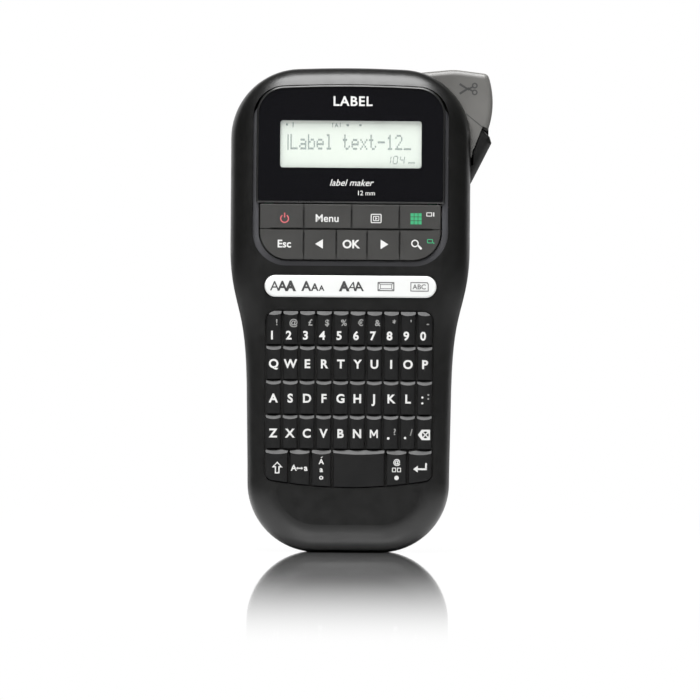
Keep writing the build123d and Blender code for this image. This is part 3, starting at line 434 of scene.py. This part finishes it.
# ---- legends ------------------------------------------------------------------------------------------
LETTER_ROWS = {
    "key_row_1": "1234567890",
    "key_row_2": "QWERTYUIOP",
    "key_row_3": "ASDFGHJKL",
    "key_row_4": "ZXCVBNM",
}
NUMBER_SYMBOLS = "!@£$%€&*'-"
DIGIT_Z, SYMBOL_Z = 92.6, 98.1  # heights of the centres of the legends
LETTER_Z = {"key_row_2": 80.5, "key_row_3": 65.8, "key_row_4": 50.9}
LETTER_M = [(-1.7, -1.75), (-1.7, 1.75), (-1.05, 1.75), (0, -0.05), (1.05, 1.75), (1.7, 1.75), (1.7, -1.75),
            (1.1, -1.75), (1.1, 0.6), (0.25, -0.95), (-0.25, -0.95), (-1.1, 0.6), (-1.1, -1.75)]
STRIP_INK_Z = 113.6
LAST_ROW_Z = 36.2
PAD_UPPER_Z, PAD_LOWER_Z = 142.6, 131.6  # the two rows of the function pad


def column_x(index):
    return (index - 4.5) * KEY_PITCH


def legend_rows():
    for row, letters in LETTER_ROWS.items():
        marks, faint = Drawing(), Drawing()
        for index, letter in enumerate(letters):
            x = column_x(index)
            if row == "key_row_1":
                marks.text(letter, x - 0.8, DIGIT_Z, 3.4, bold=BOLD)
                faint.text(NUMBER_SYMBOLS[index], x + 1.2, SYMBOL_Z, 2.5)
            elif letter == "M":
                marks.shape([LETTER_M], x, LETTER_Z[row])
            else:
                marks.text(letter, x, LETTER_Z[row], CAP_HEIGHT, bold=BOLD)
        if row == "key_row_3":
            x = column_x(9)
            marks.shape([disc(0.45)], x - 0.9, 66.5).shape([disc(0.45)], x - 0.9, 64.0)
            faint.shape([disc(0.38)], x + 1.6, 67.6).shape([disc(0.38)], x + 1.6, 65.9)
        if row == "key_row_4":
            marks.shape([disc(0.55)], column_x(7) - 1.0, 49.0).shape([disc(0.5)], column_x(8) - 1.0, 49.2)
            faint.text("?", column_x(7) + 1.7, 51.8, 2.6).text("/", column_x(8) + 1.6, 51.6, 2.6)
            x, z = column_x(9), 50.6
            tag = [(-2.7, 0), (-1.1, 2.2), (2.5, 2.2), (2.5, -2.2), (-1.1, -2.2)]
            marks.shape([tag, disc(1.45, 0.5, 0)], x, z)
            marks.shape([line((-0.5, -1.0), (1.5, 1.0), 0.5)], x, z)
            marks.shape([line((-0.5, 1.0), (1.5, -1.0), 0.5)], x, z)
        surface = front_of(row)
        body = row + "_cap"
        marks.finish(row + "_legends", INK_WHITE, surface, body, "strip_white", cut=CURVED)
        if faint.bm.verts:
            faint.finish(row + "_symbols", INK_GREY, surface, body, "trim_grey", cut=CURVED)


def shift_mark(x, z):
    arrow = [(0, 2.6), (2.3, 0.1), (1.0, 0.1), (1.0, -2.5), (-1.0, -2.5), (-1.0, 0.1), (-2.3, 0.1)]
    inside = [(0, 1.9), (1.3, 0.6), (0.5, 0.6), (0.5, -2.0), (-0.5, -2.0), (-0.5, 0.6), (-1.3, 0.6)]
    return Drawing().shape([arrow, inside], x + 0.3, z)


def case_mark(x, z):
    """A capital and a small letter with a double arrow between them."""
    mark = Drawing().text("A", x - 2.5, z, 2.4, bold=BOLD).text("a", x + 2.6, z, 2.4, bold=BOLD)
    mark.shape([line((-0.9, 0), (0.9, 0))], x, z - 0.2)
    mark.shape([[(-1.5, 0), (-0.7, 0.6), (-0.7, -0.6)]], x, z - 0.2)
    return mark.shape([[(1.5, 0), (0.7, -0.6), (0.7, 0.6)]], x, z - 0.2)


def accent_mark(x, _):
    mark = Drawing().text("A", x, 38.9, 2.1, bold=BOLD).shape([line((-0.2, 0), (0.6, 0.5), 0.3)], x, 40.5)
    return mark.text("a", x, 35.6, 2.2, bold=BOLD).text("o", x, 32.4, 2.2, bold=BOLD)


def symbol_mark(x, _):
    """An at sign, two small frames and a dot, one above the other."""
    mark = Drawing().text("@", x + 0.1, 39.0, 2.0, bold=BOLD)
    mark.shape(framed(1.7, 1.9, 0.2, 0.35), x - 1.0, 35.6).shape(framed(1.7, 1.9, 0.2, 0.35), x + 1.1, 35.6)
    return mark.shape([disc(0.95)], x + 0.1, 32.2)


def enter_mark(x, z):
    mark = Drawing().shape([line((2.6, 2.4), (2.6, -0.2), 0.75)], x, z)
    mark.shape([line((2.97, -0.2), (-1.2, -0.2), 0.75)], x, z)
    return mark.shape([[(-2.9, -0.2), (-0.9, 1.2), (-0.9, -1.6)]], x, z)


LAST_ROW_MARKS = {
    "shift_key": shift_mark,
    "case_key": case_mark,
    "accent_key": accent_mark,
    "symbol_key": symbol_mark,
    "enter_key": enter_mark,
}


def last_row():
    for key, draw in LAST_ROW_MARKS.items():
        mark = draw(middle_x(key), LAST_ROW_Z)
        mark.finish(key + "_mark", INK_WHITE, front_of(key), key + "_cap", "strip_white", cut=CURVED)


def function_pad():
    """Marks of the nine function keys."""
    upper, lower = PAD_UPPER_Z, PAD_LOWER_Z

    def mark(key, drawing, ink, slot="strip_white", suffix="_mark"):
        drawing.finish(key + suffix, ink, front_of(key), key + "_cap", slot)

    power = Drawing().shape([arc_band(1.65, 125, 415, 0.5)], -28, upper - 0.3)
    mark("power_key", power.shape([line((0, 0.1), (0, 2.2), 0.5)], -28, upper), INK_RED)
    mark("menu_key", Drawing().text("Menu", -9.9, upper, 3.1, bold=0.012), INK_WHITE)
    page = Drawing().shape(framed(4.6, 3.9, 0.5, 0.4), 11.0, upper)
    page.shape(framed(2.6, 2.1, 0.3, 0.3), 11.0, upper)
    mark("preview_key", page.shape([[(-0.35, 0.6), (-0.35, -0.6), (0.65, 0)]], 11.0, upper), INK_WHITE)
    table = Drawing()
    for column in range(3):
        for row in range(3):
            table.shape([rect(1.4, 1.4)], 28.0 + (column - 1) * 1.65, upper + (row - 1) * 1.65)
    mark("database_key", table, INK_GREEN)
    file = Drawing().shape(framed(2.4, 1.7, 0.2, 0.3), 33.6, upper + 1.9)
    mark("database_key", file.shape([rect(0.5, 1.7)], 35.5, upper + 1.9), INK_WHITE, suffix="_file")
    mark("esc_key", Drawing().text("Esc", -28.1, lower, 3.1, bold=0.02), INK_WHITE)
    mark("left_key", Drawing().shape([[(-1.9, 0), (1.4, 2.0), (1.4, -2.0)]], -13.0, lower), INK_WHITE)
    mark("ok_key", Drawing().text("OK", 0.3, lower, 3.3, bold=BOLD), INK_WHITE)
    mark("right_key", Drawing().shape([[(1.9, 0), (-1.4, -2.0), (-1.4, 2.0)]], 14.4, lower), INK_WHITE)
    lens = Drawing().shape(hoop(1.6, 0.5), 27.6, lower + 0.5)
    mark("zoom_key", lens.shape([line((0.9, -0.7), (2.6, -2.5), 0.8)], 27.8, lower + 0.6), INK_WHITE)
    card = Drawing().shape(framed(2.5, 1.8, 0.5, 0.35), 34.0, lower + 1.5)
    card.shape([disc(0.3)], 35.6, lower + 0.7)
    mark("zoom_key", card, INK_GREEN, slot="board_green", suffix="_card")


def strip_icons():
    """What the white strip offers: letter styles, a frame and a tag."""
    z = STRIP_INK_Z
    letters = [  # x, drop, height, bold and slant of each A: three weights, three sizes, three styles
        (-32.0, 0, 3.9, 0.005, 0), (-28.7, 0, 3.9, 0.03, 0), (-25.2, 0, 3.9, 0.055, 0),
        (-18.5, 0, 3.9, 0.03, 0), (-14.9, 0.45, 3.0, 0.03, 0), (-12.0, 0.85, 2.2, 0.03, 0),
        (-2.4, 0, 3.8, 0.05, 0), (0.6, 0, 3.8, 0.0, 0.25), (4.0, 0, 3.8, 0.02, -0.1),
    ]
    strip = Drawing()
    for x, drop, height, bold, slant in letters:
        strip.text("A", x, z - drop, height, bold=bold, slant=slant)
    strip.finish("strip_letters", DARK_INK_AND_PAINTED_SHADOW, front_of("shortcut_strip"), "strip", "key_black")
    frame_x = 15.4
    icons = Drawing().shape(framed(7.2, 3.9, 0.3, 0.5), frame_x, z)
    icons.shape(framed(5.0, 2.0, 0.2, 0.28), frame_x, z)
    for u in (-1, 1):
        for v in (-1, 1):
            icons.shape([line((u * 3.3, v * 1.7), (u * 2.4, v * 0.9), 0.3)], frame_x, z)
    tag = [(-3.9, 2.0), (3.4, 2.0), (3.9, 1.2), (3.9, -2.0), (-3.9, -2.0)]
    hole = [(-3.5, 1.6), (3.1, 1.6), (3.5, 1.0), (3.5, -1.6), (-3.5, -1.6)]
    icons.shape([tag, hole], 29.7, z).text("ABC", 29.6, z, 2.0, bold=0.02)
    icons.finish("strip_frames", INK_MID, front_of("shortcut_strip"), "strip", "key_black")


# ---- display ------------------------------------------------------------------------------------------
GLYPHS = {  # five dots wide, seven high, top row first
    "L": "10000 10000 10000 10000 10000 10000 11111",
    "a": "00000 00000 01110 00001 01111 10001 01111",
    "b": "10000 10000 10110 11001 10001 10001 11110",
    "e": "00000 00000 01110 10001 11111 10000 01110",
    "l": "01100 00100 00100 00100 00100 00100 01110",
    "t": "01000 01000 11100 01000 01000 01001 00110",
    "x": "00000 00000 10001 01010 00100 01010 10001",
    "1": "00100 01100 00100 00100 00100 00100 01110",
    "2": "01110 10001 00001 00010 00100 01000 11111",
    "-": "00000 00000 00000 11111 00000 00000 00000",
    "_": "00000 00000 00000 00000 00000 00000 11111",
}
SEGMENTS = {"0": "abcdef", "1": "bc", "2": "abged", "4": "fgbc", "8": "abcdefg"}
DOT = (0.62, 0.94)  # pitch of the dots across and up


def dot_text(drawing, words, x, z):
    """Letters made of dots; x and z are the first letter's upper left dot."""
    for place, letter in enumerate(words):
        for row, bits in enumerate(GLYPHS.get(letter, "").split()):
            for column, bit in enumerate(bits):
                if bit == "1":
                    left = x + (place * 6 + column) * DOT[0]
                    drawing.shape([rect(DOT[0] * 0.94, DOT[1] * 0.94)], left, z - row * DOT[1])


def seven_segment(drawing, digits, x, z, w=1.7, h=3.2, pitch=2.9, slant=0.12):
    """Leaning digits made of bars with small gaps between them."""
    ends = {
        "a": ((0, h), (w, h)), "b": ((w, h), (w, h / 2)), "c": ((w, h / 2), (w, 0)),
        "d": ((0, 0), (w, 0)), "e": ((0, h / 2), (0, 0)), "f": ((0, h), (0, h / 2)),
        "g": ((0, h / 2), (w, h / 2)),
    }
    for place, digit in enumerate(digits):
        for name in SEGMENTS[digit]:
            (ax, ay), (bx, by) = ends[name]
            a = (ax + slant * ay + (bx - ax) * 0.1, ay + (by - ay) * 0.1)
            b = (bx + slant * by - (bx - ax) * 0.1, by - (by - ay) * 0.1)
            drawing.shape([line(a, b, 0.38)], x + place * pitch, z)


def display_marks():
    """What the display shows, just in front of the cell, and plain words on the panel."""
    low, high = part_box("display_window")
    left, right, bottom, top = low.x / MM, high.x / MM, low.z / MM, high.z / MM
    marks = Drawing()
    marks.shape([rect(0.5, 6.6)], left + 3.3, top - 9.2)
    dot_text(marks, "Label text-12_", left + 4.6, top - 6.2)
    seven_segment(marks, "104", right - 15.0, bottom + 1.9)
    marks.text("mm", right - 4.2, bottom + 2.5, 1.3, bold=0.02)
    marks.shape([disc(0.5)], left + 2.8, top - 1.7).text("1", left + 5.4, top - 1.8, 1.9, bold=BOLD)
    marks.text("A", -6.2, top - 1.9, 1.6, bold=BOLD).shape([rect(0.3, 1.9)], -7.8, top - 1.8)
    marks.shape([rect(0.3, 1.9)], -4.6, top - 1.8).shape([rect(1.1, 1.0)], -1.4, top - 1.8)
    marks.shape([rect(1.0, 0.8)], 4.0, top - 1.8)
    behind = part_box("lcd_cell")[0].y
    marks.finish("display_text", LCD_DARK, lambda x, z: behind, "case", "trim_grey")
    name = Drawing().text("LABEL", 0.6, top + 8.4, 3.9, bold=0.02, spacing=1.12)
    name.text("label maker", 0.2, 157.8, 2.7, bold=0.004, slant=0.3)
    name.text("12 mm", 6.6, 153.4, 1.9, bold=0.004)
    name.finish("panel_name", INK_WHITE, front_of("display_panel"), "case", "strip_white")


# ---- lever --------------------------------------------------------------------------------------------
def lever_mark():
    """Scissors on the lever's face, two blades and two finger loops, and below them a dark line that paints
    the shadow at the step where the lever's upper plate ends.
    """
    x, z = 50.0, 198.6
    mark = Drawing()
    for side in (-1, 1):
        blade = [(0.4, 0), (-3.4, -2.5 * side), (-3.9, -1.7 * side), (0.2, 0.8 * side)]
        mark.shape([blade if side > 0 else list(reversed(blade))], x, z)
        mark.shape([line((0.2, 0), (2.0, 0.95 * side), 0.7)], x, z)
        mark.shape(hoop(1.25, 0.6, 2.8, 1.45 * side), x, z)
    # painted shadow: a thin dark line across the lever where its upper plate steps down, standing in for the
    # shade at that step
    mark.shape([line((49.3, 187.9), (56.2, 182.3), 0.35)], 0, 0)
    mark.finish("lever_scissors_and_shadow_line", DARK_INK_AND_PAINTED_SHADOW, front_of("cutter_lever"), "lever", "key_black")


# ---- studio -------------------------------------------------------------------------------------------
VIEW_WIDTH = 0.298  # what the picture spans at the object's front, in metres like all of the studio
FRONT_FACE = 0.02  # how far the object's front stands before the origin
CAMERA_DISTANCE = 3.0
CAMERA_HEIGHT = 0.0865
CAMERA_SIDE = 0.0003
CAMERA_ROLL = radians(0.45)
BACKDROP_EDGE = (0.4, 0.75)  # how far round the white backdrop reaches, as the Y of a direction
BACKDROP_TOP = (0.35, 0.6)  # how far up it reaches, as the Z of a direction
ROOM_GLOW = 0.04
FLOOR_HALF = 6.0
FLOOR_FADE = (0.22, 0.95)  # distances over which the floor's polish fades
FLOOR_BOUNCE = 0.12  # how much of the matt floor's white reaches the object
SOFTBOXES = {  # name: place, aim, size and watts
    "front light": ((-0.2, -0.85, 0.82), (0, 0, 0.1), (0.5, 0.35), 8),
    "top light": ((0, -0.22, 0.95), (0, 0, 0.15), (0.8, 0.7), 19),
}


def camera():
    data = bpy.data.cameras.new("camera")
    data.sensor_width = 36
    data.lens = data.sensor_width * (CAMERA_DISTANCE - FRONT_FACE) / VIEW_WIDTH
    data.clip_end = 50
    view = bpy.data.objects.new("camera", data)
    bpy.context.scene.collection.objects.link(view)
    place = Matrix.Translation((CAMERA_SIDE, -CAMERA_DISTANCE, CAMERA_HEIGHT))
    upright = Matrix.Rotation(radians(90), 4, "X")
    view.matrix_world = place @ upright @ Matrix.Rotation(CAMERA_ROLL, 4, "Z")
    bpy.context.scene.camera = view


def softbox(name, place, aim, size, watts):
    data = bpy.data.lights.new(name, "AREA")
    data.shape = "RECTANGLE"
    data.size, data.size_y = size
    data.energy = watts
    light = bpy.data.objects.new(name, data)
    bpy.context.scene.collection.objects.link(light)
    light.location = place
    light.rotation_euler = (Vector(aim) - Vector(place)).to_track_quat("-Z", "Y").to_euler()


def between(nodes, links, source, low, high):
    """A smooth 0..1 step over a value."""
    step = nodes.new("ShaderNodeMapRange")
    step.interpolation_type = "SMOOTHSTEP"
    step.inputs["From Min"].default_value = low
    step.inputs["From Max"].default_value = high
    links.new(source, step.inputs["Value"])
    return step.outputs["Result"]


def calculate(nodes, links, operation, first, second):
    node = nodes.new("ShaderNodeMath")
    node.operation = operation
    for socket, value in zip(node.inputs, (first, second)):
        if isinstance(value, (int, float)):
            socket.default_value = value
        else:
            links.new(value, socket)
    return node.outputs["Value"]


def seen_white(nodes, links, value):
    """One where the camera looks straight at it, and the value for light that falls on the object."""
    path = nodes.new("ShaderNodeLightPath")
    return calculate(nodes, links, "MAXIMUM", path.outputs["Is Camera Ray"], value)


def backdrop():
    """White to look at, but it lights the object only from behind, so that black stays black at the front."""
    world = bpy.data.worlds.new("studio")
    bpy.context.scene.world = world
    world.use_nodes = True
    nodes, links = world.node_tree.nodes, world.node_tree.links
    nodes["Background"].inputs["Color"].default_value = (1, 1, 1, 1)
    coords = nodes.new("ShaderNodeTexCoord")
    split = nodes.new("ShaderNodeSeparateXYZ")
    links.new(coords.outputs["Generated"], split.inputs["Vector"])
    behind = between(nodes, links, split.outputs["Y"], *BACKDROP_EDGE)
    above = between(nodes, links, split.outputs["Z"], *BACKDROP_TOP)
    wall = calculate(nodes, links, "SUBTRACT", behind, above)
    light = calculate(nodes, links, "MAXIMUM", wall, ROOM_GLOW)
    links.new(seen_white(nodes, links, light), nodes["Background"].inputs["Strength"])


def floor():
    """A white floor, polished round the object and matt further out."""
    mesh = bpy.data.meshes.new("floor")
    far = FLOOR_HALF
    mesh.from_pydata([(-far, -far, 0), (far, -far, 0), (far, far, 0), (-far, far, 0)], [], [(0, 1, 2, 3)])
    mat, bsdf = shader("floor white", (0.86, 0.86, 0.86), 0.03, Coat_Weight=1.0, Coat_Roughness=0.02)
    nodes, links = mat.node_tree.nodes, mat.node_tree.links
    cloud = add_noise(mat, 3, 2.0)
    links.new(ramp(mat, cloud.outputs["Fac"], *MIDDLE, 0.025, 0.035), bsdf.inputs["Roughness"])
    coords = nodes.new("ShaderNodeTexCoord")
    length = nodes.new("ShaderNodeVectorMath")
    length.operation = "LENGTH"
    links.new(coords.outputs["Object"], length.inputs[0])
    matt = nodes.new("ShaderNodeEmission")
    links.new(seen_white(nodes, links, FLOOR_BOUNCE), matt.inputs["Strength"])
    mix = nodes.new("ShaderNodeMixShader")
    links.new(between(nodes, links, length.outputs["Value"], *FLOOR_FADE), mix.inputs["Fac"])
    links.new(bsdf.outputs["BSDF"], mix.inputs[1])
    links.new(matt.outputs["Emission"], mix.inputs[2])
    links.new(mix.outputs["Shader"], nodes["Material Output"].inputs["Surface"])
    mesh.materials.append(mat)
    ground = bpy.data.objects.new("floor", mesh)
    bpy.context.scene.collection.objects.link(ground)


def main():
    camera()
    dress_frame()
    legend_rows()
    last_row()
    function_pad()
    strip_icons()
    display_marks()
    lever_mark()
    floor()
    backdrop()
    for name, settings in SOFTBOXES.items():
        softbox(name, *settings)
    bpy.context.scene.view_settings.view_transform = "Standard"


main()
